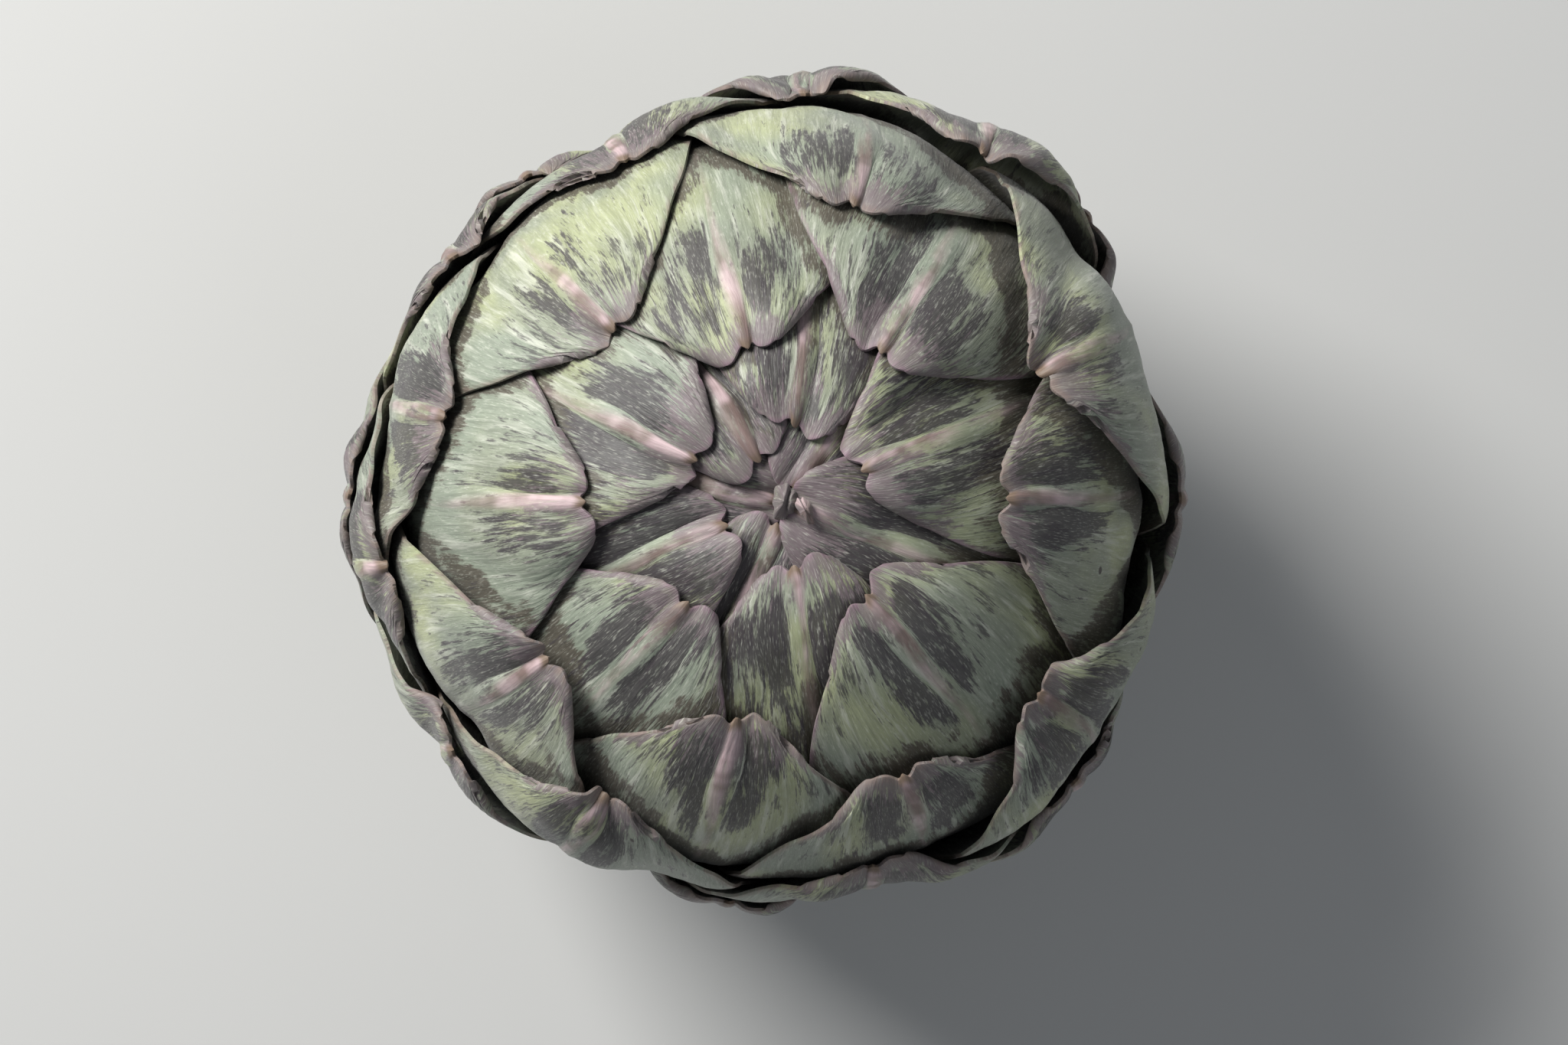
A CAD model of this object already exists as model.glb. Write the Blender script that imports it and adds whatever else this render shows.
"""The finished look of a closed globe artichoke head, standing on its cut stem.

Every bract of the model is replaced by a finely shaped one in the same place: a notched, ribbed sheet that
is draped over the bracts inside it and thins towards its margins. The heart is replaced by one with a ribbed
stem and a cut face. Bracts are counted from the middle of the crown outwards.

Lengths are in metres and angles in radians, unless a name says otherwise. +Z is up.
"""

import logging
import math
from collections.abc import Callable
from dataclasses import dataclass, field
from enum import Enum

import bpy
import numpy as np
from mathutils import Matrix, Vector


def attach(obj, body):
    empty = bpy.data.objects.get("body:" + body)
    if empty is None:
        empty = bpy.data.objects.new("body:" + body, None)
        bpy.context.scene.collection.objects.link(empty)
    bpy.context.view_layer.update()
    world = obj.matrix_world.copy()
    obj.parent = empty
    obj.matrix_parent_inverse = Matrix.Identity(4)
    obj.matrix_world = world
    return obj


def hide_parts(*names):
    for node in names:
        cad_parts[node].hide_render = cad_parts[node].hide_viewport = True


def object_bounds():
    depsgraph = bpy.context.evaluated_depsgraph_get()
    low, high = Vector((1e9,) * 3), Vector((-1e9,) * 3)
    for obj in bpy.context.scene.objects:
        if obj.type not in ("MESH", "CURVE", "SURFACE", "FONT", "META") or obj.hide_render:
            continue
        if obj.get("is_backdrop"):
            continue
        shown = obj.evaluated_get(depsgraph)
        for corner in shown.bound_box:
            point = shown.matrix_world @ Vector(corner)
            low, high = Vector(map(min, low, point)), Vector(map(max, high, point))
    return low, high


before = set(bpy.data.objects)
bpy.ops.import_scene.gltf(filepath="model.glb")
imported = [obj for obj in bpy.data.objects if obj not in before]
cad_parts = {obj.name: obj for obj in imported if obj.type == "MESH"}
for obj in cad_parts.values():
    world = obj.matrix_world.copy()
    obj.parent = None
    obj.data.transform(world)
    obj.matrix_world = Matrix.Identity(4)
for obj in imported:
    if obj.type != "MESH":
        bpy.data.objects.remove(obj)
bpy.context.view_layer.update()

Array = np.ndarray
Colour = tuple[float, float, float]
Piece = bpy.types.Object
Output = bpy.types.NodeSocket
Value = Output | float | Colour

MM = 0.001
DEG = math.pi / 180.0
GOLDEN_ANGLE = math.pi * (3.0 - math.sqrt(5.0))
UP = np.array((0.0, 0.0, 1.0))

log = logging.getLogger("artichoke")


# ---------------------------------------------------------------- shape helpers


def smooth_step(value: Array | float, low: float, high: float) -> Array:
    """A smooth rise from 0 below low to 1 above high.

    Args:
        value: What is compared with low and high.
        low: Where the rise starts.
        high: Where the rise ends.

    Returns:
        The share risen, from 0 to 1.
    """
    share = np.clip((value - low) / (high - low), 0.0, 1.0)
    return share * share * (3.0 - 2.0 * share)


def hump(value: Array, middle: float, spread: float) -> Array:
    """A bell curve of height 1 round a middle value.

    Args:
        value: Where the curve is read.
        middle: Where it is 1.
        spread: How far from the middle it has fallen to 0.37.

    Returns:
        The curve's height at each value.
    """
    return np.exp(-(((value - middle) / spread) ** 2))


def gathered(grid: Array, cells: int, combine: Callable[..., Array], **padding: str) -> Array:
    """A grid with each value made from those near it, along its rows and along its columns.

    Args:
        grid: The grid of values.
        cells: How many cells away a value still counts.
        combine: What makes one value from the ones near it.
        **padding: How the grid goes on past its edges.

    Returns:
        A grid of the same shape.
    """
    for axis, size in enumerate(grid.shape):
        margins = [(0, 0), (0, 0)]
        margins[axis] = (cells, cells)
        padded = np.pad(grid, margins, **padding)
        shifted = [np.take(padded, range(step, step + size), axis=axis) for step in range(2 * cells + 1)]
        grid = combine(shifted, axis=0)
    return grid


def highest_nearby(grid: Array, cells: int) -> Array:
    """A grid with each value made the highest within some cells of it."""
    return gathered(grid, cells, np.max, mode="edge")


def softened(grid: Array, cells: int) -> Array:
    """A grid with each value made the mean of those within some cells of it."""
    return gathered(grid, cells, np.mean, mode="reflect", reflect_type="odd")


def cubic_weights(positions: Array, count: int) -> Array:
    """How much each of a row of evenly spaced values counts in a smooth curve through them.

    Args:
        positions: Positions along the row, from 0 to count - 1.
        count: How many values the row has.

    Returns:
        One row of weights for each position.
    """
    left = np.clip(positions.astype(int), 0, count - 2)
    share = positions - left
    before = -0.5 * share + share**2 - 0.5 * share**3
    first = 1.0 - 2.5 * share**2 + 1.5 * share**3
    second = 0.5 * share + 2.0 * share**2 - 1.5 * share**3
    after = -0.5 * share**2 + 0.5 * share**3
    weights = np.zeros((len(positions), count + 2))
    places = np.arange(len(positions))
    for step, amount in enumerate((before, first, second, after)):
        weights[places, left + step] += amount
    weights[:, 1] += 2.0 * weights[:, 0]
    weights[:, 2] -= weights[:, 0]
    weights[:, -2] += 2.0 * weights[:, -1]
    weights[:, -3] -= weights[:, -1]
    return weights[:, 1:-1]


def points_of(piece: Piece) -> Array:
    """Where each of a mesh's points is."""
    flat = np.empty(len(piece.data.vertices) * 3, np.float32)
    piece.data.vertices.foreach_get("co", flat)
    return flat.reshape(-1, 3).astype(float)


# ---------------------------------------------------------------- the head's layout


class Zone(Enum):
    """Where on the head a bract's tip is. The value is the zone's greatest polar angle, in degrees."""

    CENTRE = 8.0
    CROWN = 40.0
    SHOULDER = 72.0
    SIDE = 110.0
    FOOT = 180.0

    @classmethod
    def of(cls, polar: float) -> "Zone":
        """The zone that a tip at this polar angle is in."""
        return next(zone for zone in cls if polar <= zone.value * DEG)


@dataclass(frozen=True)
class Habit:
    """How one bract differs from the rule for its place.

    The turn round the stem and the tip's angle are in degrees. The lift off the bracts inside it, the curl of
    its tip's margin and the length that one lobe has over the other are in millimetres.
    """

    turn: float = 0.0
    tip: float = 0.0
    lift: float = 0.0
    width: float = 1.0
    lopsided: float = 0.0
    curl: float = 0.0


HABITS = {
    2: Habit(turn=-8, tip=-2),
    3: Habit(turn=17, tip=-2, lopsided=-0.8),
    4: Habit(turn=-11, tip=-1),
    5: Habit(turn=1, tip=2, lopsided=0.9),
    6: Habit(turn=-6, tip=-6, width=1.15, curl=0.12),
    7: Habit(turn=-5, tip=1, lopsided=0.6),
    8: Habit(turn=15, tip=1, lopsided=-1.3),
    9: Habit(turn=-14, tip=-3, lopsided=1.2),
    10: Habit(width=1.1, lopsided=-0.6),
    11: Habit(turn=5, tip=-5, lopsided=0.7),
    12: Habit(turn=-14, tip=2, lopsided=0.9, curl=0.12),
    13: Habit(turn=2, tip=1.5, lopsided=0.7),
    14: Habit(turn=-14, tip=-7, lopsided=0.8, curl=0.12),
    15: Habit(turn=-7, tip=2, lopsided=0.7),
    16: Habit(turn=8, tip=-5, lopsided=-0.5),
    17: Habit(turn=-15, lift=0.8, curl=0.28),
    18: Habit(lopsided=-0.9),
    19: Habit(turn=4, tip=-8, lift=1.2, curl=0.36),
    20: Habit(turn=-6, lift=1.5, lopsided=0.6, curl=0.32),
    21: Habit(turn=-5, tip=-1, lift=0.8, curl=0.32),
    22: Habit(turn=-11, tip=-5, lift=0.8, curl=0.36),
    23: Habit(turn=-1, tip=4, lift=0.8, curl=0.28),
    24: Habit(turn=-3, tip=-13, lift=2.0, curl=0.32),
    25: Habit(turn=-13, tip=-1, lift=0.6, curl=0.28),
    26: Habit(tip=8, curl=0.2),
    27: Habit(turn=-14, tip=-12, lift=1.0, curl=0.36),
    28: Habit(turn=-10, tip=9, lift=0.3, curl=0.24),
    29: Habit(turn=-2, tip=4, lift=0.9, curl=0.24),
    31: Habit(turn=-4, tip=14, lift=0.4, curl=0.2),
    32: Habit(turn=-9, tip=7, lift=0.8, curl=0.2),
    33: Habit(turn=-14, tip=5, curl=0.16),
    34: Habit(turn=-9, tip=9, curl=0.16),
    36: Habit(tip=5),
}
LATE_HABIT = Habit()  # for the bracts without one of their own


@dataclass(frozen=True)
class HeadPlan:
    """The sizes that the whole head follows, as in the model that carries it."""

    bract_count: int = 48
    centre_height: float = 56.0 * MM
    lean: tuple[float, float] = (3.6 * MM, -1.0 * MM)
    lean_top: float = 100.0 * MM
    first_azimuth: float = 89.6 * DEG
    first_base: float = 132.0 * DEG
    last_base: float = 162.0 * DEG
    orders: tuple[float, ...] = (0, 5, 8, 13, 18, 23, 28, 34, 40, 47)
    tip_polar_deg: tuple[float, ...] = (0, 4, 9, 20, 36.5, 53, 62, 74, 97, 128)
    half_width_deg: tuple[float, ...] = (13, 22, 28, 33, 35, 35, 34, 31, 25, 16)
    tip_lift_mm: tuple[float, ...] = (0.0, 0.1, 0.2, 0.3, 0.5, 1.0, 1.6, 1.8, 0.4, 0.2)
    hollow_polar_deg: tuple[float, ...] = (0, 55, 90, 132, 134)
    hollow_reach_mm: tuple[float, ...] = (42.0, 42.8, 41.2, 37.8, 0.0)
    heart_radii_mm: tuple[float, ...] = (28.3, 27.0, 22.2, 17.4, 14.8, 13.6)
    heart_heights_mm: tuple[float, ...] = (31.2, 25.6, 19.2, 14.4, 10.4, 6.0)
    tip_half_width: float = 6.0 * DEG
    shoulder: float = 20.0 * DEG
    base_turn: float = 17.0 * DEG
    blade_from: float = -0.08
    blade_to: float = 0.45
    lift_from: float = 0.35
    notch_depth: float = 2.6 * DEG
    notch_spread: float = 0.3
    lobe_rounding: float = 3.4 * DEG
    model_columns: int = 6
    model_rows: int = 7

    def of_order(self, order: int, table: tuple[float, ...]) -> float:
        """A bract's value in one of the tables that go with the orders."""
        return float(np.interp(order, self.orders, table))

    def leant(self, heights: Array) -> Array:
        """How far the head's lean moves places at these heights."""
        share = smooth_step(heights, self.centre_height / 3.0, self.lean_top)[..., None]
        return share * np.array((*self.lean, 0.0))

    def upright(self, places: Array) -> Array:
        """Places in the leaning head, as they are in the upright one, from the head's centre."""
        return places - self.leant(places[..., 2]) - self.centre_height * UP

    def leaning(self, places: Array) -> Array:
        """Places in the upright head, measured from its centre, moved to where the leaning head has them."""
        moved = places + self.centre_height * UP
        return moved + self.leant(moved[..., 2])

    def inner_reach(self, polar: Array) -> Array:
        """The least distance from the head's centre that a bract may have, at these polar angles."""
        radii = np.array(self.heart_radii_mm) * MM
        heights = np.array(self.heart_heights_mm) * MM - self.centre_height
        heart = np.interp(polar, np.arctan2(radii, heights), np.hypot(radii, heights), left=0.0)
        hollow = np.interp(polar / DEG, self.hollow_polar_deg, self.hollow_reach_mm) * MM
        return np.maximum(hollow, heart)


@dataclass(frozen=True)
class SheetMake:
    """How finely a bract is made, how thick it is and what stands up from it."""

    columns: int = 60
    rows: int = 76
    crowding: float = 1.35  # how much closer the rows are near the tip
    drape_cells: int = 3
    gap: float = 0.12 * MM
    blend: float = 0.4 * MM  # how softly the model's own sheet takes over from the draped one
    slack_kept: float = 0.35  # the share of the room under the model's own sheet that stays
    press_age: float = 0.34  # the age from which bracts are pressed on the ones inside them
    stands_off: float = 0.85 * MM  # a lift of its own above which a bract isn't pressed
    press: float = 2.4 * MM
    press_from: float = 0.68
    press_to: float = 0.95
    press_cells: int = 2
    press_gap: float = 0.04 * MM
    lift_kept: float = 0.45  # the share of its lift that a pressed bract keeps
    middle_thickness: float = 1.7 * MM
    margin_thickness: float = 0.42 * MM
    thick_from: float = 12.0 * MM  # the distance from the margin where a bract is as thick as it gets
    side_margin: float = 0.05
    tip_margin: float = 0.8 * DEG
    base_margin: float = 3.3 * DEG
    point_length: float = 1.3 * DEG
    point_spread: float = 0.075
    rib_height: float = 0.46 * MM
    rib_spread: float = 0.66 * MM
    rib_fade: float = 20.0 * MM
    rib_waver: float = 0.5 * MM
    waver_size: float = 7.0 * MM
    groove_depth: float = 0.24 * MM
    groove_place: float = 1.6 * MM
    groove_spread: float = 0.75 * MM
    lobe_height: float = 0.42 * MM
    lobe_place: float = 6.0 * MM
    lobe_spread: float = 4.2 * MM
    wave_height: float = 0.22 * MM
    wave_sizes: tuple[float, ...] = (17.0 * MM, 11.0 * MM, 7.0 * MM)
    vein_height: float = 0.025 * MM
    vein_pitch: float = 2.6 * MM
    vein_reach_mm: float = 45.0  # how far from the head's centre the veins have that pitch
    curl_spread: float = 3.6 * MM
    ripple_size: float = 4.4 * MM


class Sheet:
    """One bract's sheet. u runs across it from -1 to 1, and v along it from 0 at its base to 1 at its tip."""

    def __init__(self, plan: HeadPlan, make: SheetMake, order: int) -> None:
        """Works out where the bract grows and how wide and long it is.

        Args:
            plan: The head's sizes.
            make: How a bract is made.
            order: The bract's place in the spiral, counted from the crown's middle.
        """
        habit = HABITS.get(order, LATE_HABIT)
        azimuth = plan.first_azimuth - order * GOLDEN_ANGLE + habit.turn * DEG
        self.plan = plan
        self.make = make
        self.order = order
        self.habit = habit
        self.outward = np.array((math.cos(azimuth), math.sin(azimuth), 0.0))
        self.sideways = np.array((-math.sin(azimuth), math.cos(azimuth), 0.0))
        self.tip = (plan.of_order(order, plan.tip_polar_deg) + habit.tip) * DEG
        self.base = plan.first_base + (plan.last_base - plan.first_base) * order / (plan.bract_count - 1)
        self.widest = plan.of_order(order, plan.half_width_deg) * habit.width * DEG
        self.foot = math.asin(math.sin(plan.base_turn) * math.sin(self.base))
        self.lift = (plan.of_order(order, plan.tip_lift_mm) + habit.lift) * MM
        self.length = self.base - self.tip
        rows = 1.0 - (1.0 - np.linspace(0.0, 1.0, make.rows + 1)) ** make.crowding
        self.u, self.v = np.meshgrid(np.linspace(-1.0, 1.0, make.columns + 1), rows)
        self.rays = self.directions(self.u, self.v, self.edge(self.u, self.v))
        self.reach = np.zeros_like(self.u)
        self.outer = np.zeros_like(self.u)
        self.cover = np.full_like(self.u, -10.0 * MM)

    @property
    def name(self) -> str:
        """The name of the model's node that this bract stands for."""
        return f"{Zone.of(self.tip).name.lower()}_bract_{self.order + 1:02d}"

    @property
    def age(self) -> float:
        """0 for the innermost bract and 1 for the outermost."""
        return self.order / (self.plan.bract_count - 1)

    @property
    def across(self) -> Array:
        """The signed distance of each grid point from the midrib."""
        return self.u * self.half_width(self.v) * self.reach

    @property
    def from_tip(self) -> Array:
        """The distance of each grid point from the tip's edge, along the bract."""
        return (1.0 - self.v) * self.length * self.reach

    @property
    def from_margin(self) -> Array:
        """The distance of each grid point from the nearest margin."""
        side = (1.0 - np.abs(self.u)) * self.half_width(self.v) * self.reach
        return np.minimum(side, self.from_tip)

    def half_width(self, v: Array) -> Array:
        """The sheet's half width at v, as an angle."""
        blade = self.plan.tip_half_width - self.widest
        blade = self.widest + blade * np.exp(-(1.0 - v) * self.length / self.plan.shoulder)
        share = smooth_step(v, self.plan.blade_from, self.plan.blade_to)
        return self.foot + (blade - self.foot) * share

    def plain_edge(self, u: Array, v: Array) -> Array:
        """How far the two lobes and the notch pull a point back from the tip, as an angle, in the model."""
        pulled = self.plan.notch_depth * hump(u, 0.0, self.plan.notch_spread)
        return (pulled + self.plan.lobe_rounding * np.abs(u) ** 3) * np.maximum(v, 0.0) ** 4

    def edge(self, u: Array, v: Array) -> Array:
        """The same with the notch's fine point and the lobes' unlike lengths."""
        point = self.make.point_length * hump(u, 0.0, self.make.point_spread)
        longer = self.habit.lopsided * DEG * np.sin(1.6 * u)
        return self.plain_edge(u, v) - (point + longer) * np.maximum(v, 0.0) ** 6

    def directions(self, u: Array, v: Array, pulled: Array) -> Array:
        """Unit vectors from the head's centre to points of the sheet.

        Args:
            u: The points' places across the sheet.
            v: Their places along it.
            pulled: How far each one is pulled back from the tip, as an angle.

        Returns:
            One vector for each point.
        """
        polar = self.tip + self.length * (1.0 - v) + pulled
        side = u * self.half_width(v)
        level = (np.cos(side) * np.sin(polar))[..., None] * self.outward
        level = level + np.sin(side)[..., None] * self.sideways
        return level + (np.cos(side) * np.cos(polar))[..., None] * UP

    def locate(self, rays: Array) -> tuple[Array, Array]:
        """The (u, v) of each direction on this sheet, which may lie past its edges."""
        side = np.arcsin(np.clip(rays @ self.sideways, -1.0, 1.0))
        polar = np.arctan2(rays @ self.outward, rays[..., 2])
        v = 1.0 - (polar - self.tip) / self.length
        for _ in range(4):
            u = side / self.half_width(np.clip(v, 0.0, 1.0))
            pulled = self.edge(np.clip(u, -1.0, 1.0), np.clip(v, 0.0, 1.0))
            v = 1.0 - (polar - self.tip - pulled) / self.length
        return u, v

    def outside(self, rays: Array) -> Array:
        """How far this bract's outside is from the head's centre in each direction: 0 where it has none."""
        u, v = self.locate(rays)
        make = self.make
        covered = np.abs(u) < 1.0 + make.side_margin
        covered &= (v > -make.base_margin / self.length) & (v < 1.0 + make.tip_margin / self.length)
        row = (1.0 - (1.0 - np.clip(v, 0.0, 1.0)) ** (1.0 / make.crowding)) * make.rows
        column = (np.clip(u, -1.0, 1.0) + 1.0) / 2.0 * make.columns
        low = np.minimum(row.astype(int), make.rows - 1)
        left = np.minimum(column.astype(int), make.columns - 1)
        down, right = row - low, column - left
        near = self.outer[low, left] * (1.0 - right) + self.outer[low, left + 1] * right
        far = self.outer[low + 1, left] * (1.0 - right) + self.outer[low + 1, left + 1] * right
        return np.where(covered, near * (1.0 - down) + far * down, 0.0)

    def depth_under(self, rays: Array) -> Array:
        """How far inside this bract's margins each direction is, below 0 outside them."""
        u, v = self.locate(rays)
        typical = float(np.mean(self.reach))
        side = (1.0 - np.abs(u)) * self.half_width(np.clip(v, 0.0, 1.0))
        end = (1.0 - v) * self.length
        foot = (v + 0.15) * self.length
        return np.minimum(np.minimum(side, end), foot) * typical

    def model_reach(self, node: Piece) -> Array:
        """The distance of the model's own sheet from the head's centre, on this sheet's grid."""
        plan = self.plan
        places = plan.upright(points_of(node))
        distances = np.linalg.norm(places, axis=1)
        corner_u, corner_v = np.meshgrid(
            np.linspace(-1.0, 1.0, plan.model_columns + 1), np.linspace(0.0, 1.0, plan.model_rows + 1)
        )
        corners = self.directions(corner_u, corner_v, self.plain_edge(corner_u, corner_v))
        nearest = np.argmax((places / distances[:, None]) @ corners.reshape(-1, 3).T, axis=0)
        corner_reach = distances[nearest].reshape(corner_u.shape)
        along = cubic_weights(self.v[:, 0] * plan.model_rows, plan.model_rows + 1)
        across = cubic_weights((self.u[0] + 1.0) / 2.0 * plan.model_columns, plan.model_columns + 1)
        return along @ corner_reach @ across.T

    def lay(self, inner_sheets: list["Sheet"], node: Piece) -> None:
        """Drapes the sheet over the heart and the bracts inside it.

        Args:
            inner_sheets: The bracts inside this one, already laid.
            node: The model's node for this bract.
        """
        make = self.make
        needed = self.plan.inner_reach(np.arccos(np.clip(self.rays[..., 2], -1.0, 1.0)))
        for sheet in inner_sheets:
            needed = np.maximum(needed, sheet.outside(self.rays) + make.gap)
        least = softened(softened(highest_nearby(needed, make.drape_cells), 2), 2)
        raising = self.lift * smooth_step(self.v, self.plan.lift_from, 1.0)
        over = self.model_reach(node) - raising - least
        taken = 0.5 * (over + np.sqrt(over**2 + make.blend**2))
        kept = make.slack_kept * (0.35 + 0.65 * smooth_step(self.age, 0.15, 0.6))
        plain = least + kept * taken
        if self.age > make.press_age and self.habit.lift * MM < make.stands_off:
            plain = self.pressed(plain, needed)
            raising = make.lift_kept * raising
        self.reach = plain + raising
        self.reach = self.reach + self.relief()
        self.outer = self.reach + self.thickness() * self.slant()

    def pressed(self, reach: Array, needed: Array) -> Array:
        """Presses the tip in, onto the bracts inside it.

        Args:
            reach: The draped sheet's distance from the head's centre.
            needed: The least distance that clears what is inside it.

        Returns:
            The pressed sheet's distance.
        """
        make = self.make
        lower = reach - make.press * smooth_step(self.v, make.press_from, make.press_to)
        under = softened(softened(highest_nearby(needed, make.press_cells), 1), 1)
        smooth = np.maximum(softened(np.maximum(lower, under), 2), under)
        return softened(smooth, 1) + make.press_gap

    def thickness(self) -> Array:
        """The sheet's thickness at each grid point, which falls to that of the margins in a rounded way."""
        make = self.make
        inside = np.clip(self.from_margin / make.thick_from, 0.0, 1.0)
        grown = 1.0 - (1.0 - inside) ** 2
        return make.margin_thickness + (make.middle_thickness - make.margin_thickness) * grown

    def slant(self) -> Array:
        """How many times its thickness the sheet takes up, seen from the head's centre, as it lies aslant."""
        places = self.rays * self.reach[..., None]
        normal = np.cross(np.gradient(places, axis=1), np.gradient(places, axis=0))
        facing = np.abs((normal * self.rays).sum(axis=-1)) / np.linalg.norm(normal, axis=-1)
        return 1.0 / np.maximum(facing, 0.5)

    def relief(self) -> Array:
        """How far the midrib, the lobes, the veins and the sheet's gentle waves stand out."""
        make = self.make
        random = np.random.default_rng(900 + self.order)
        x, y = self.across, self.from_tip
        near_tip = np.exp(-y / make.rib_fade)
        waver = make.rib_waver * np.sin(y / make.waver_size + random.uniform(0.0, 6.0))
        rib = make.rib_height * random.uniform(0.75, 1.15) * hump(x - waver, 0.0, make.rib_spread)
        rib = rib * (0.22 + 0.78 * near_tip) * smooth_step(y, -0.5 * MM, 1.5 * MM)
        deeper = np.where(x > 0.0, *random.permutation((1.5, 0.6)))
        grooves = make.groove_depth * deeper
        grooves = grooves * hump(np.abs(x - waver), make.groove_place, make.groove_spread) * near_tip
        sizes = np.where(x > 0.0, *random.uniform(0.7, 1.3, 2))
        lobes = make.lobe_height * sizes * hump(np.abs(x), make.lobe_place, make.lobe_spread)
        lobes = lobes * hump(y, make.lobe_place, make.lobe_spread * 1.4)
        turns = self.u * self.widest * make.vein_reach_mm * MM / make.vein_pitch
        veins = make.vein_height * np.sin(2.0 * math.pi * turns)
        veins = veins * smooth_step(np.abs(x), 3.0 * MM, 5.0 * MM)
        veins = veins * smooth_step(self.from_margin, 0.0, 3.0 * MM)
        waves = np.zeros_like(x)
        for size in make.wave_sizes:
            heading, phase = random.uniform(0.0, 2.0 * math.pi, 2)
            spread = x * math.cos(heading) * 1.4 + y * math.sin(heading) * 0.7
            waves += np.sin(2.0 * math.pi * spread / size + phase) * size / make.wave_sizes[1]
        return rib - grooves + lobes + veins + make.wave_height * waves / 2.0

    def places(self) -> Array:
        """Where each grid point of the sheet's inner side is, with the tip's margin curled outwards."""
        bare = smooth_step(-self.cover, 0.0, 1.5 * MM)
        random = np.random.default_rng(300 + self.order)
        ripple = 1.0 + 0.5 * np.sin(self.across / self.make.ripple_size + random.uniform(0.0, 6.0))
        curl = self.habit.curl * MM * hump(self.from_margin, 0.0, self.make.curl_spread) * bare * ripple
        curl = curl * smooth_step(self.v, 0.5, 0.8)
        return self.plan.leaning(self.rays * (self.reach + curl)[..., None])


# ---------------------------------------------------------------- node wiring


class Wiring:
    """Adds the nodes of one node tree and joins them."""

    def __init__(self, tree: bpy.types.NodeTree) -> None:
        """Keeps the tree that the nodes go in."""
        self.tree = tree

    def feed(self, socket: Output, value: Value) -> None:
        """Joins a socket to another one, or sets its value.

        Args:
            socket: An input of a node.
            value: An output to join it to, a number, or a colour of three numbers.
        """
        if isinstance(value, Output):
            self.tree.links.new(value, socket)
        elif isinstance(value, tuple) and len(socket.default_value) == 4:
            socket.default_value = (*value, 1.0)
        else:
            socket.default_value = value

    def add(self, kind: str, inputs: dict[str | int, Value] | None = None, **settings: str) -> bpy.types.Node:
        """Adds a node.

        Args:
            kind: The node's type.
            inputs: What each input is fed with, by name or number.
            **settings: The node's own settings.

        Returns:
            The node.
        """
        node = self.tree.nodes.new(kind)
        for name, value in settings.items():
            setattr(node, name, value)
        for name, value in (inputs or {}).items():
            self.feed(node.inputs[name], value)
        return node

    def math(self, operation: str, first: Value, second: Value = 0.0) -> Output:
        """One of the Math node's operations on two numbers."""
        return self.add("ShaderNodeMath", {0: first, 1: second}, operation=operation).outputs[0]

    def plus(self, first: Value, second: Value) -> Output:
        """The sum of two numbers."""
        return self.math("ADD", first, second)

    def times(self, first: Value, second: Value) -> Output:
        """The product of two numbers."""
        return self.math("MULTIPLY", first, second)

    def rise(self, value: Value, low: Value, high: Value) -> Output:
        """A smooth rise from 0 where value is low to 1 where it is high."""
        inputs = {"Value": value, "From Min": low, "From Max": high}
        return self.add("ShaderNodeMapRange", inputs, interpolation_type="SMOOTHSTEP").outputs["Result"]

    def blend(self, share: Value, first: Value, second: Value, kind: str = "MIX") -> Output:
        """The first colour, changed towards the second by a share."""
        inputs = {0: share, 6: first, 7: second}
        return self.add("ShaderNodeMix", inputs, data_type="RGBA", blend_type=kind).outputs[2]

    def stretched(self, place: Value, across: Value, along: Value, seed: Value) -> Output:
        """A place scaled differently across and along the fibres, with a seed as its third number."""
        parts = self.add("ShaderNodeSeparateXYZ", {0: place})
        x = self.times(parts.outputs[0], across)
        y = self.times(parts.outputs[1], along)
        return self.add("ShaderNodeCombineXYZ", {0: x, 1: y, 2: seed}).outputs[0]

    def noise(self, place: Value, detail: float, roughness: float) -> Output:
        """Cloudy noise from 0 to 1 at a place, with cells of about one unit."""
        inputs = {"Vector": place, "Scale": 1.0, "Detail": detail, "Roughness": roughness}
        return self.add("ShaderNodeTexNoise", inputs, noise_dimensions="3D").outputs[0]

    def attribute(self, name: str) -> Output:
        """A number stored at the mesh's points."""
        return self.add("ShaderNodeAttribute", attribute_name=name).outputs["Fac"]


class Socket(Enum):
    """The kinds of group socket."""

    NUMBER = "NodeSocketFloat"
    PLACE = "NodeSocketVector"


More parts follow.
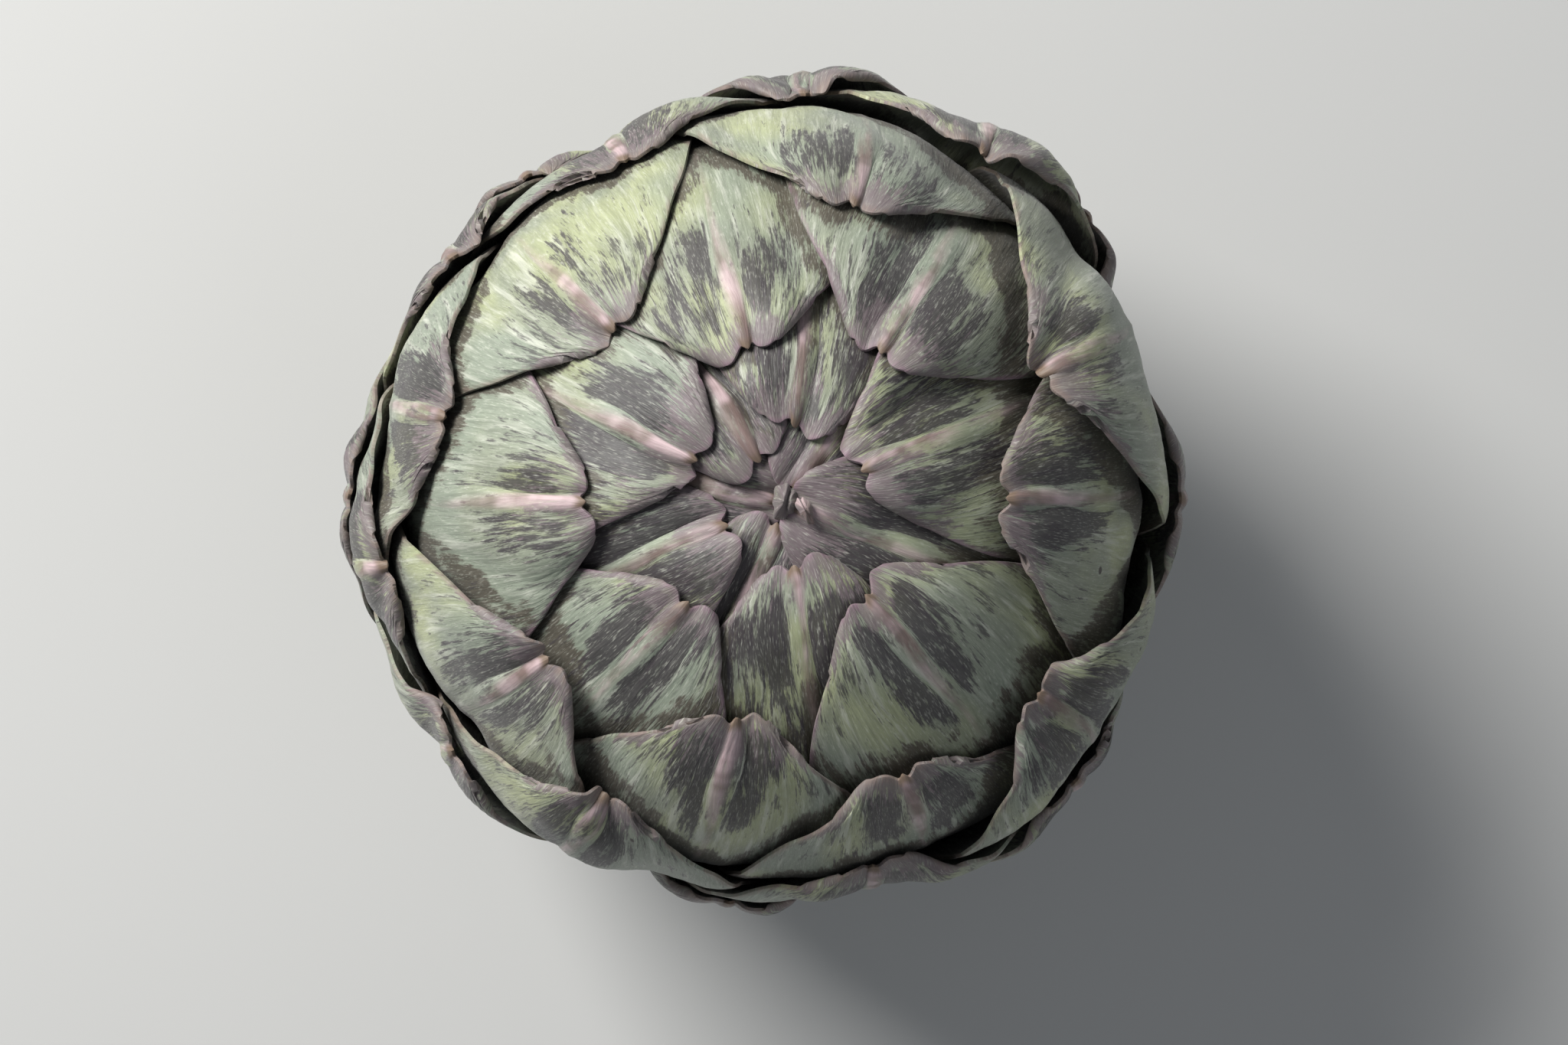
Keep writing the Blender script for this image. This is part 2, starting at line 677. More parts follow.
class Effect:
    """A shader node group with named inputs and outputs, built once and placed in any material.

    Every effect takes a Place, in millimetres across the fibres and along them, and a Seed.
    """

    def __init__(self, name: str, inputs: tuple[str, ...], outputs: tuple[str, ...]) -> None:
        """Makes the group's sockets, and its wiring ready to be filled in.

        Args:
            name: The group's name.
            inputs: The names of its other inputs, which are numbers.
            outputs: The names of its outputs, which are numbers.
        """
        self.tree = bpy.data.node_groups.new(name, "ShaderNodeTree")
        sockets = [("Place", "INPUT", Socket.PLACE)]
        sockets += [(label, "INPUT", Socket.NUMBER) for label in ("Seed", *inputs)]
        sockets += [(label, "OUTPUT", Socket.NUMBER) for label in outputs]
        for label, direction, kind in sockets:
            self.tree.interface.new_socket(label, in_out=direction, socket_type=kind.value)
        self.wiring = Wiring(self.tree)
        self.given = self.tree.nodes.new("NodeGroupInput").outputs
        self.result = self.tree.nodes.new("NodeGroupOutput").inputs

    def noise(self, across: Value, along: Value, detail: float, roughness: float) -> Output:
        """Noise inside the group, with this many cells to a millimetre across and along the fibres."""
        place = self.wiring.stretched(self.given["Place"], across, along, self.given["Seed"])
        return self.wiring.noise(place, detail, roughness)

    def put_out(self, name: str, value: Value) -> None:
        """Feeds one of the group's outputs."""
        self.wiring.feed(self.result[name], value)

    def place_in(self, wiring: Wiring, **inputs: Value) -> bpy.types.bpy_prop_collection:
        """Places the group in a material.

        Args:
            wiring: The material's wiring.
            **inputs: What each input is fed with, by its name.

        Returns:
            The outputs of the placed group.
        """
        node = wiring.tree.nodes.new("ShaderNodeGroup")
        node.node_tree = self.tree
        for name, value in inputs.items():
            wiring.feed(node.inputs[name], value)
        return node.outputs


def fibre_effect() -> Effect:
    """Fibres that run along a plant's skin, as Fine and Coarse numbers from 0 to 1."""
    effect = Effect("plant_fibres", (), ("Fine", "Coarse"))
    effect.put_out("Fine", effect.noise(2.6, 0.17, 4.0, 0.65))
    effect.put_out("Coarse", effect.noise(0.75, 0.075, 3.0, 0.6))
    return effect


def patch_effect() -> Effect:
    """Ragged patches, drawn out along the fibres.

    Returns:
        The effect. Amount is how much of the skin they take up, from 0 to 1, and Across and Along are the
        patches' sizes in millimetres. Its Mask is 1 inside them.
    """
    effect = Effect("ragged_patches", ("Across", "Along", "Amount", "Fine"), ("Mask",))
    wiring, given = effect.wiring, effect.given
    across = wiring.math("DIVIDE", 1.0, given["Across"])
    along = wiring.math("DIVIDE", 1.0, given["Along"])
    large = effect.noise(across, along, 2.0, 0.5)
    small = effect.noise(wiring.times(across, 5.0), wiring.times(along, 3.4), 4.0, 0.7)
    total = wiring.plus(wiring.times(large, 0.46), wiring.times(small, 0.36))
    total = wiring.plus(total, wiring.times(given["Fine"], 0.44))
    total = wiring.plus(total, given["Amount"])
    effect.put_out("Mask", wiring.rise(total, 1.03, 1.12))
    return effect


def speck_effect() -> Effect:
    """Scattered round specks.

    Returns:
        The effect. Pitch is the room that each speck has, and Size its radius as a share of that. Its Mask is
        1 inside the specks.
    """
    effect = Effect("specks", ("Pitch", "Size"), ("Mask",))
    wiring, given = effect.wiring, effect.given
    scale = wiring.math("DIVIDE", 1.0, given["Pitch"])
    place = wiring.stretched(given["Place"], scale, scale, given["Seed"])
    cells = wiring.add("ShaderNodeTexVoronoi", {"Vector": place, "Scale": 1.0}, voronoi_dimensions="3D")
    drawn = wiring.add("ShaderNodeSeparateColor", {0: cells.outputs["Color"]}).outputs[0]
    size = wiring.times(given["Size"], drawn)
    outside = wiring.rise(cells.outputs["Distance"], wiring.times(size, 0.6), size)
    effect.put_out("Mask", wiring.math("SUBTRACT", 1.0, outside))
    return effect


# ---------------------------------------------------------------- finishes


@dataclass
class Effects:
    """The shared effects, each built once."""

    fibres: Effect = field(default_factory=fibre_effect)
    patches: Effect = field(default_factory=patch_effect)
    specks: Effect = field(default_factory=speck_effect)


@dataclass(frozen=True)
class Patches:
    """A layer of ragged patches: its colour, how opaque it is and the patches' sizes in millimetres."""

    colour: Colour
    opacity: float
    across: float
    along: float
    salt: float  # what is added to the skin's seed


def new_material(piece: Piece, name: str) -> bpy.types.NodeTree:
    """Gives a piece a new material.

    Args:
        piece: The piece, whose other materials are dropped.
        name: The material's name.

    Returns:
        The material's node tree, which holds a Principled BSDF.
    """
    material = bpy.data.materials.new(name)
    material.use_nodes = True
    piece.data.materials.clear()
    piece.data.materials.append(material)
    return material.node_tree


class Skin:
    """A plant's skin while it is being wired."""

    def __init__(self, piece: Piece, name: str, effects: Effects, seed: float) -> None:
        """Gives a piece a new material, with the fibres placed in it.

        Args:
            piece: The piece, with its grain map stored.
            name: The material's name.
            effects: The shared effects.
            seed: What makes this skin's patterns unlike another's.
        """
        tree = new_material(piece, name)
        self.shader = tree.nodes["Principled BSDF"]
        self.wiring = Wiring(tree)
        self.effects = effects
        self.seed = seed
        self.place = self.wiring.add("ShaderNodeUVMap", uv_map="grain").outputs[0]
        fibres = effects.fibres.place_in(self.wiring, Place=self.place, Seed=seed)
        self.fine, self.coarse = fibres["Fine"], fibres["Coarse"]

    def noise(
        self, salt: float, across: float, along: float, detail: float, roughness: float = 0.55
    ) -> Output:
        """Noise over the skin, with this many cells to a millimetre across and along the fibres."""
        place = self.wiring.stretched(self.place, across, along, self.seed + salt)
        return self.wiring.noise(place, detail, roughness)

    def tinted(self, colour: Value, share: Value, opacity: float, tint: Colour) -> Output:
        """A colour with a tint laid over it where share is above 0."""
        return self.wiring.blend(self.wiring.times(share, opacity), colour, tint)

    def patched(self, colour: Value, patches: Patches, amount: Value) -> Output:
        """A colour with a layer of patches over it, which take up the given amount of the skin."""
        placed = self.effects.patches.place_in(
            self.wiring,
            Place=self.place,
            Seed=self.seed + patches.salt,
            Across=patches.across,
            Along=patches.along,
            Amount=amount,
            Fine=self.fine,
        )
        return self.tinted(colour, placed["Mask"], patches.opacity, patches.colour)

    def put_on(self, colour: Value, height: Value, roughness: float, unevenness: float) -> None:
        """Feeds the shader.

        Args:
            colour: The skin's colour.
            height: How far its fibres stand up, in metres.
            roughness: How rough it is on the whole.
            unevenness: How far the fine fibres change that.
        """
        wiring = self.wiring
        rough = wiring.plus(roughness - unevenness / 2.0, wiring.times(self.fine, unevenness))
        bump = wiring.add("ShaderNodeBump", {"Strength": 0.9, "Distance": 1.0, "Height": height})
        wiring.feed(self.shader.inputs["Base Color"], colour)
        wiring.feed(self.shader.inputs["Roughness"], rough)
        wiring.feed(self.shader.inputs["Normal"], bump.outputs[0])


class LeafSkin(Skin):
    """A bract's skin while it is being wired, with its points' distances in millimetres."""

    def __init__(self, piece: Piece, sheet: Sheet, effects: Effects) -> None:
        """Gives a bract's piece a new material.

        Args:
            piece: The piece, with its grain map and its distances stored.
            sheet: The sheet that it was made from.
            effects: The shared effects.
        """
        super().__init__(piece, f"{sheet.name}_skin", effects, 7.31 * sheet.order + 3.0)
        self.sheet = sheet
        self.rib = self.wiring.math("ABSOLUTE", self.wiring.attribute("rib_mm"))
        self.tip = self.wiring.attribute("tip_mm")
        self.margin = self.wiring.attribute("margin_mm")
        self.cover = self.wiring.attribute("cover_mm")


@dataclass(frozen=True)
class BractSkin:
    """The skin of a bract: pale green with yellow and blue-green in it, fibrous, flushed purple-grey at the
    tip, blotched along the midrib and stained where another bract's margin has lain on it.

    The distances given to the wiring are in millimetres.
    """

    sage: Colour = (0.205, 0.225, 0.168)
    lime: Colour = (0.282, 0.305, 0.178)
    mint: Colour = (0.198, 0.226, 0.176)
    wax: Colour = (0.500, 0.510, 0.440)
    stain: Patches = Patches((0.052, 0.040, 0.030), 0.88, 5.0, 12.0, salt=3.0)
    blotch: Patches = Patches((0.034, 0.028, 0.032), 0.90, 3.6, 12.0, salt=5.0)
    streak: Patches = Patches((0.034, 0.028, 0.032), 0.80, 1.3, 6.0, salt=15.0)
    flush: Patches = Patches((0.132, 0.103, 0.110), 0.85, 6.0, 8.0, salt=8.0)
    rib: Colour = (0.430, 0.320, 0.330)
    rib_brown: Colour = (0.165, 0.112, 0.100)
    rim: Colour = (0.190, 0.112, 0.150)
    dry_rim: Colour = (0.185, 0.135, 0.112)
    dry_rim_age: float = 0.35
    dry: Colour = (0.150, 0.105, 0.075)
    speck: Colour = (0.030, 0.022, 0.018)
    speck_pitch: float = 9.0
    speck_size: float = 0.075
    roughness: float = 0.56
    unevenness: float = 0.30
    fibre_height: float = 0.10 * MM
    coarse_height: float = 0.22 * MM

    def dress(self, piece: Piece, sheet: Sheet, effects: Effects) -> None:
        """Gives a bract its skin.

        Args:
            piece: The bract's mesh, with its grain map and its distances stored.
            sheet: The sheet that it was made from.
            effects: The shared effects.
        """
        skin = LeafSkin(piece, sheet, effects)
        colour = self.green(skin)
        lower = (self.stained, self.blotched, self.flushed, self.downy)
        for layer in (*lower, self.ribbed, self.rimmed, self.specked):
            colour = layer(skin, colour)
        wiring = skin.wiring
        height = wiring.times(skin.fine, self.fibre_height)
        height = wiring.plus(height, wiring.times(skin.coarse, self.coarse_height))
        skin.put_on(colour, height, self.roughness, self.unevenness)
        skin.shader.inputs["Sheen Weight"].default_value = 0.12
        skin.shader.inputs["Sheen Roughness"].default_value = 0.45
        skin.shader.inputs["Specular IOR Level"].default_value = 0.42

    def green(self, skin: LeafSkin) -> Output:
        """The greens, which change slowly over the bract, with waxy pale streaks in them."""
        wiring = skin.wiring
        slow = wiring.rise(skin.noise(1.0, 0.075, 0.05, 2.0), 0.42, 0.62)
        slower = wiring.rise(skin.noise(2.0, 0.05, 0.035, 1.0), 0.45, 0.62)
        colour = wiring.blend(slower, wiring.blend(slow, self.sage, self.lime), self.mint)
        return skin.tinted(colour, wiring.rise(skin.coarse, 0.50, 0.72), 0.55, self.wax)

    def stained(self, skin: LeafSkin, colour: Value) -> Output:
        """The brown stain along the margins that lie on this bract, with ragged edges."""
        near = skin.wiring.rise(skin.cover, -6.5, -0.3)
        return skin.patched(colour, self.stain, skin.wiring.plus(0.21, skin.wiring.times(near, 0.29)))

    def blotched(self, skin: LeafSkin, colour: Value) -> Output:
        """The dark blotches either side of the midrib, below the tip, and the finer streaks round them."""
        wiring = skin.wiring
        random = np.random.default_rng(170 + skin.sheet.order)
        wide, start, end = random.uniform(9.0, 17.0), random.uniform(1.0, 7.0), random.uniform(24.0, 38.0)
        strength = float(np.random.default_rng(70 + skin.sheet.order).uniform(0.22, 0.37))
        beside = wiring.times(wiring.rise(skin.rib, 0.2, 2.0), wiring.rise(skin.rib, wide, 2.5))
        below = wiring.times(wiring.rise(skin.tip, 0.0, start), wiring.rise(skin.tip, end, 10.0))
        amount = wiring.times(wiring.times(beside, below), strength)
        colour = skin.patched(colour, self.blotch, wiring.plus(amount, 0.24))
        amount = wiring.times(wiring.rise(skin.tip, 30.0, 4.0), 0.15)
        return skin.patched(colour, self.streak, wiring.plus(0.26, amount))

    def flushed(self, skin: LeafSkin, colour: Value) -> Output:
        """The purple-grey flush over the lobes, which reaches further down on the inner bracts."""
        wiring = skin.wiring
        random = np.random.default_rng(40 + skin.sheet.order)
        reach = float(random.uniform(9.0, 22.0)) * (1.15 - 0.35 * skin.sheet.age)
        amount = wiring.times(wiring.rise(skin.tip, reach, 0.0), 0.31)
        edge = wiring.times(wiring.rise(skin.margin, 4.0, 0.0), 0.10)
        return skin.patched(colour, self.flush, wiring.plus(wiring.plus(amount, edge), 0.15))

    def downy(self, skin: LeafSkin, colour: Value) -> Output:
        """Pale down, as short fine hairs along the fibres."""
        hairs = skin.noise(20.0, 5.5, 0.8, 2.0, 0.6)
        return skin.tinted(colour, skin.wiring.rise(hairs, 0.52, 0.78), 0.42, self.wax)

    def ribbed(self, skin: LeafSkin, colour: Value) -> Output:
        """The pink midrib, browner in places, which fades away from the tip."""
        wiring = skin.wiring
        width = wiring.math("SUBTRACT", 1.0, wiring.times(wiring.rise(skin.tip, 0.0, 36.0), 0.5))
        line = wiring.rise(skin.rib, width, wiring.times(width, 0.1))
        strength = wiring.math("SUBTRACT", 0.92, wiring.times(wiring.rise(skin.tip, 4.0, 32.0), 0.75))
        browned = wiring.rise(skin.noise(11.0, 0.2, 0.16, 2.0), 0.40, 0.60)
        tone = wiring.blend(browned, self.rib, self.rib_brown)
        broken = wiring.rise(skin.coarse, 0.30, 0.55)
        return wiring.blend(wiring.times(wiring.times(line, strength), broken), colour, tone)

    def rimmed(self, skin: LeafSkin, colour: Value) -> Output:
        """The violet line along the margins, and the dry brown point in the notch."""
        wiring, age = skin.wiring, skin.sheet.age
        line = wiring.rise(skin.margin, 0.8 + 1.1 * age, 0.1)
        line = wiring.times(line, wiring.rise(skin.coarse, 0.35, 0.58))
        colour = skin.tinted(colour, line, 0.6, self.dry_rim if age > self.dry_rim_age else self.rim)
        point = wiring.times(wiring.rise(skin.rib, 0.9, 0.3), wiring.rise(skin.tip, 1.6, 0.5))
        return wiring.blend(point, colour, self.dry)

    def specked(self, skin: LeafSkin, colour: Value) -> Output:
        """Small dark specks, and the fibres' light and dark over everything."""
        wiring = skin.wiring
        specks = skin.effects.specks.place_in(
            wiring, Place=skin.place, Seed=skin.seed, Pitch=self.speck_pitch, Size=self.speck_size
        )
        colour = wiring.blend(specks["Mask"], colour, self.speck)
        light = wiring.plus(0.45, wiring.times(skin.fine, 1.10))
        grey = wiring.add("ShaderNodeCombineColor", {0: light, 1: light, 2: light}).outputs[0]
        return wiring.blend(1.0, colour, grey, "MULTIPLY")


@dataclass(frozen=True)
class HeartSkin:
    """The skin of the stem and the heart's underside, and the pale cut face with its ring of strands."""

    green: Colour = (0.200, 0.235, 0.120)
    pale: Colour = (0.330, 0.345, 0.210)
    brown: Colour = (0.110, 0.078, 0.045)
    bruise: Patches = Patches((0.110, 0.078, 0.045), 0.70, 5.0, 9.0, salt=2.3)
    bruised: float = 0.30
    pith: Colour = (0.520, 0.480, 0.330)
    ring: Colour = (0.230, 0.185, 0.095)
    roughness: float = 0.62
    unevenness: float = 0.24
    relief: float = 0.15 * MM

    def dress(self, piece: Piece, slot: str, effects: Effects) -> None:
        """Gives the heart its skin.

        Args:
            piece: The heart's mesh, with its grain map.
            slot: The name of its material slot.
            effects: The shared effects.
        """
        skin = Skin(piece, slot, effects, 1.7)
        wiring = skin.wiring
        colour = wiring.blend(wiring.rise(skin.coarse, 0.35, 0.65), self.green, self.pale)
        colour = skin.patched(colour, self.bruise, self.bruised)
        colour = wiring.blend(wiring.attribute("cut_face"), colour, self.cut_face(wiring, effects))
        height = wiring.times(wiring.plus(skin.fine, skin.coarse), self.relief)
        skin.put_on(colour, height, self.roughness, self.unevenness)

    def cut_face(self, wiring: Wiring, effects: Effects) -> Output:
        """The cut face: pale pith, a ring of darker strands, and a browned outer edge."""
        spot = wiring.add("ShaderNodeTexCoord").outputs["Object"]
        spot = wiring.add("ShaderNodeVectorMath", {0: spot, 3: 1000.0}, operation="SCALE").outputs[0]
        flat = wiring.stretched(spot, 1.0, 1.0, 0.0)
        radius = wiring.add("ShaderNodeVectorMath", {0: flat}, operation="LENGTH").outputs["Value"]
        strands = effects.specks.place_in(wiring, Place=flat, Seed=2.0, Pitch=1.5, Size=0.75)["Mask"]
        band = wiring.times(wiring.rise(radius, 6.5, 8.0), wiring.rise(radius, 12.2, 10.5))
        colour = wiring.blend(wiring.times(band, strands), self.pith, self.ring)
        clouds = wiring.noise(wiring.stretched(spot, 0.35, 0.35, 5.0), 4.0, 0.55)
        colour = wiring.blend(wiring.times(wiring.rise(clouds, 0.45, 0.7), 0.5), colour, self.ring)
        return wiring.blend(wiring.rise(radius, 11.8, 13.4), colour, self.brown)


@dataclass(frozen=True)
class FloorFinish:
    """A plain pale matt floor."""

    colour: Colour = (0.44, 0.44, 0.43)
    roughness: float = 0.85

    def dress(self, piece: Piece) -> None:
        """Gives the floor its finish."""
        shader = new_material(piece, "pale_floor").nodes["Principled BSDF"]
        shader.inputs["Base Color"].default_value = (*self.colour, 1.0)
        shader.inputs["Roughness"].default_value = self.roughness


# ---------------------------------------------------------------- pieces


def deselect_all() -> None:
    """Leaves object mode with nothing selected."""
    bpy.ops.object.select_all(action="DESELECT")


def move_points(piece: Piece, places: Array) -> None:
    """Moves a mesh's points to new places."""
    piece.data.vertices.foreach_set("co", places.astype(np.float32).ravel())


def store_numbers(piece: Piece, name: str, values: Array) -> None:
    """Stores one number for each of a mesh's points."""
    attribute = piece.data.attributes.new(name, "FLOAT", "POINT")
    attribute.data.foreach_set("value", np.ascontiguousarray(values, np.float32))


def store_grain(piece: Piece, across: Array, along: Array) -> None:
    """Stores the grain map, from each point's distances across the fibres and along them in millimetres."""
    mesh = piece.data
    corners = np.empty(len(mesh.loops), np.int32)
    mesh.loops.foreach_get("vertex_index", corners)
    pairs = np.stack([across, along], axis=-1)[corners]
    mesh.uv_layers.new(name="grain").data.foreach_set("uv", np.ascontiguousarray(pairs, np.float32).ravel())


@dataclass(frozen=True)
class Bud:
    """The crumpled tip of the innermost bract, which shows where the others' tips meet: a folded point and a
    small twisted one beside it."""

    reach: float = 45.4 * MM
    point_size: tuple[float, float, float] = (1.6 * MM, 2.2 * MM, 2.6 * MM)
    point_turn: float = -14.0 * DEG
    point_rib_mm: float = 2.5  # the stored distance from a midrib, which sets the colour
    twist_size: tuple[float, float, float] = (0.8 * MM, 1.7 * MM, 1.1 * MM)
    twist_turn: float = 28.0 * DEG
    twist_place: tuple[float, float, float] = (2.4 * MM, -1.0 * MM, 2.1 * MM)
    twist_rib_mm: float = 0.3
    segments: int = 64
    rings: int = 40

    def add_to(self, piece: Piece, plan: HeadPlan) -> None:
        """Joins the two points to the innermost bract's piece.

        Args:
            piece: The innermost bract.
            plan: The head's sizes.
        """
        apex = plan.leaning(UP * self.reach)
        point = self.lump(self.point_size, self.point_turn, apex, self.point_rib_mm)
        beside = apex + np.array(self.twist_place)
        twist = self.lump(self.twist_size, self.twist_turn, beside, self.twist_rib_mm)
        deselect_all()
        for part in (point, twist, piece):
            part.select_set(True)
        bpy.context.view_layer.objects.active = piece
        bpy.ops.object.join()

    def lump(self, size: tuple[float, float, float], turn: float, place: Array, rib_mm: float) -> Piece:
        """A small folded point, shaped from a ball.

        Args:
            size: Its half width, half length and half height.
            turn: How far it is turned round the upright.
            place: Its middle.
            rib_mm: Its stored distance from a midrib.

        Returns:
            The point's object.
        """
        deselect_all()
        bpy.ops.mesh.primitive_uv_sphere_add(segments=self.segments, ring_count=self.rings, radius=1.0)
        part = bpy.context.object
        x, y, z = points_of(part).T
        around = np.arctan2(y, x)
        folds = 1.0 + 0.13 * np.sin(3.0 * around + 0.8 + 1.4 * z) + 0.07 * np.sin(8.0 * around + z)
        folds = folds * (1.0 - 0.30 * z)
        wide, long = x * size[0] * folds, y * size[1] * folds
        high = z * size[2] - 0.35 * size[2] * hump(x, 0.15, 0.22) * smooth_step(z, 0.0, 0.7)
        high += 0.20 * size[2] * y
        turned = np.stack(
            [
                wide * math.cos(turn) - long * math.sin(turn),
                wide * math.sin(turn) + long * math.cos(turn),
                high,
            ],
            axis=-1,
        )
        move_points(part, turned + place)
        for name, number in {"rib_mm": rib_mm, "tip_mm": 1.5, "margin_mm": 3.0, "cover_mm": -10.0}.items():
            store_numbers(part, name, np.full(len(x), number))
        store_grain(part, around * size[0] / MM, z * size[2] / MM)
        part.data.shade_smooth()
        return part


@dataclass
class Bracts:
    """The 48 bracts, laid one over the other from the crown's middle outwards."""

    plan: HeadPlan = field(default_factory=HeadPlan)
    make: SheetMake = field(default_factory=SheetMake)
    skin: BractSkin = field(default_factory=BractSkin)
    bud: Bud = field(default_factory=Bud)
    weight_levels: int = 40
    rim_rounding: float = 0.13 * MM

    def build(self, effects: Effects) -> None:
        """Lays every sheet, and makes and dresses its piece."""
        sheets: list[Sheet] = []
        for order in range(self.plan.bract_count):
            sheet = Sheet(self.plan, self.make, order)
            sheet.lay(sheets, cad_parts[sheet.name])
            sheets.append(sheet)
        for sheet in sheets:
            for outer in sheets[sheet.order + 1 :]:
                sheet.cover = np.maximum(sheet.cover, outer.depth_under(sheet.rays))
        for sheet in sheets:
            piece = self.shape(sheet)
            if sheet.order == 0:
                self.bud.add_to(piece, self.plan)
            self.skin.dress(piece, sheet, effects)
            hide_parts(sheet.name)
            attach(piece, "root")
            f"{sheet.name}_skin"
            log.info("%s: %d faces", piece.name, len(piece.data.polygons))

    def shape(self, sheet: Sheet) -> Piece:
        """Makes one bract's piece: a grid moved to its sheet, given its thickness and a rounded rim.

        Args:
            sheet: The laid sheet.

        Returns:
            The piece, with its grain map and its distances stored.
        """
        make = self.make
        deselect_all()
        bpy.ops.mesh.primitive_grid_add(x_subdivisions=make.columns, y_subdivisions=make.rows, size=2.0)
        piece = bpy.context.object
        piece.name = piece.data.name = f"{sheet.name}_leaf"
        flat = points_of(piece)
        column = np.rint((flat[:, 0] + 1.0) / 2.0 * make.columns).astype(int)
        row = np.rint((flat[:, 1] + 1.0) / 2.0 * make.rows).astype(int)
        move_points(piece, sheet.places()[row, column])
        millimetres = {
            "rib_mm": sheet.across,
            "tip_mm": sheet.from_tip,
            "margin_mm": sheet.from_margin,
            "cover_mm": sheet.cover,
        }
        for name, distances in millimetres.items():
            store_numbers(piece, name, distances[row, column] / MM)
        spread = 0.7 * sheet.across + 0.3 * sheet.u * sheet.widest * float(np.mean(sheet.reach))
        store_grain(piece, spread[row, column] / MM, sheet.from_tip[row, column] / MM)
        self.thicken(piece, sheet.thickness()[row, column] / make.middle_thickness)
        return piece

    def thicken(self, piece: Piece, shares: Array) -> None:
        """Gives a sheet its thickness, outwards, and rounds its rim.

        Args:
            piece: The sheet.
            shares: Each point's thickness, as a share of the greatest.
        """
        thin = self.make.margin_thickness / self.make.middle_thickness
        weights = np.clip((shares - thin) / (1.0 - thin), 0.0, 1.0)
        levels = np.rint(weights * self.weight_levels).astype(int)
        middle = piece.vertex_groups.new(name="middle")
        for level in np.unique(levels):
            middle.add(np.flatnonzero(levels == level).tolist(), level / self.weight_levels, "REPLACE")
        wall = piece.modifiers.new("wall", "SOLIDIFY")
        wall.thickness = self.make.middle_thickness
        wall.offset = 1.0
        wall.vertex_group = middle.name
        wall.thickness_vertex_group = thin
        rim = piece.modifiers.new("rim", "BEVEL")
        rim.width = self.rim_rounding
        rim.segments = 2
        rim.limit_method = "ANGLE"
        rim.angle_limit = 60.0 * DEG
        for modifier in (wall, rim):
            bpy.ops.object.modifier_apply(modifier=modifier.name)
        piece.data.shade_smooth()


@dataclass
class Heart:
    """The heart's base and the cut stem, grown in one piece.

    The outline gives a radius and a height for each ring, from the middle of the heart's top down to the
    middle of the cut face.
    """

    skin: HeartSkin = field(default_factory=HeartSkin)
    sides: int = 128
    outline_mm: tuple[tuple[float, float], ...] = (
        *((6.0, 28.2), (13.0, 28.6), (18.0, 29.6), (22.0, 31.0), (25.0, 32.2), (26.8, 32.4), (28.0, 31.0)),
        *((27.8, 28.4), (26.8, 25.6), (24.8, 22.2), (22.0, 19.2), (19.4, 16.6), (17.2, 14.4), (15.7, 12.4)),
        *((14.6, 10.2), (13.9, 8.0), (13.5, 6.0), (13.4, 4.0), (13.5, 2.2), (13.7, 0.9), (13.6, 0.25)),
        *((13.2, 0.0), (11.5, 0.0), (9.5, 0.0), (7.0, 0.0), (4.0, 0.0)),
    )
    rib_count: int = 17
    rib_depth: float = 0.35 * MM
    rib_top: float = 22.0 * MM
    rib_full: float = 10.0 * MM
    stem_radius: float = 12.5 * MM  # only what is further out than this has ribs
    wall_top: float = 26.0 * MM
    grain_radius_mm: float = 14.0

    def build(self, effects: Effects) -> None:
        """Makes, dresses and mounts the heart."""
        piece = self.shape()
        self.skin.dress(piece, "heart_skin", effects)
        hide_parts("heart")
        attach(piece, "root")
        log.info("%s: %d faces", piece.name, len(piece.data.polygons))

    def shape(self) -> Piece:
        """Turns the outline round the stem's axis, and ribs the stem.

        Returns:
            The piece, with its grain map and its cut face marked.
        """
        deselect_all()
        bpy.ops.mesh.primitive_circle_add(vertices=self.sides, radius=1.0, fill_type="NOTHING")
        piece = bpy.context.object
        piece.name = piece.data.name = "heart_and_stem"
        radius, height = (value * MM for value in self.outline_mm[0])
        bpy.ops.object.mode_set(mode="EDIT")
        bpy.ops.mesh.select_all(action="SELECT")
        bpy.ops.transform.resize(value=(radius, radius, 1.0))
        bpy.ops.transform.translate(value=(0.0, 0.0, height))
        bpy.ops.mesh.edge_face_add()
        for next_radius, next_height in self.outline_mm[1:]:
            share = next_radius * MM / radius
            down = {"value": (0.0, 0.0, next_height * MM - height)}
            bpy.ops.mesh.extrude_region_move(TRANSFORM_OT_translate=down)
            bpy.ops.transform.resize(value=(share, share, 1.0))
            radius, height = next_radius * MM, next_height * MM
        bpy.ops.mesh.select_all(action="SELECT")
        bpy.ops.mesh.remove_doubles(threshold=0.001 * MM)
        bpy.ops.mesh.normals_make_consistent(inside=False)
        bpy.ops.object.mode_set(mode="OBJECT")
        self.rib(piece)
        piece.data.shade_smooth()
        return piece

    def rib(self, piece: Piece) -> None:
        """Ribs the stem, and stores the piece's grain map and its cut face."""
        places = points_of(piece)
        angle = np.arctan2(places[:, 1], places[:, 0])
        radii = np.hypot(places[:, 0], places[:, 1])
        wall = (radii > self.stem_radius) & (places[:, 2] < self.wall_top)
        ribs = self.rib_depth * (np.abs(np.sin(angle * self.rib_count / 2.0)) ** 0.7 - 1.0)
        ribs = ribs * smooth_step(places[:, 2], self.rib_top, self.rib_full) * wall
        places[:, :2] *= ((radii + ribs) / np.maximum(radii, 1e-9))[:, None]
        move_points(piece, places)
        store_numbers(piece, "cut_face", (places[:, 2] < 0.1 * MM).astype(float))
        store_grain(piece, np.abs(angle) * self.grain_radius_mm, places[:, 2] / MM)


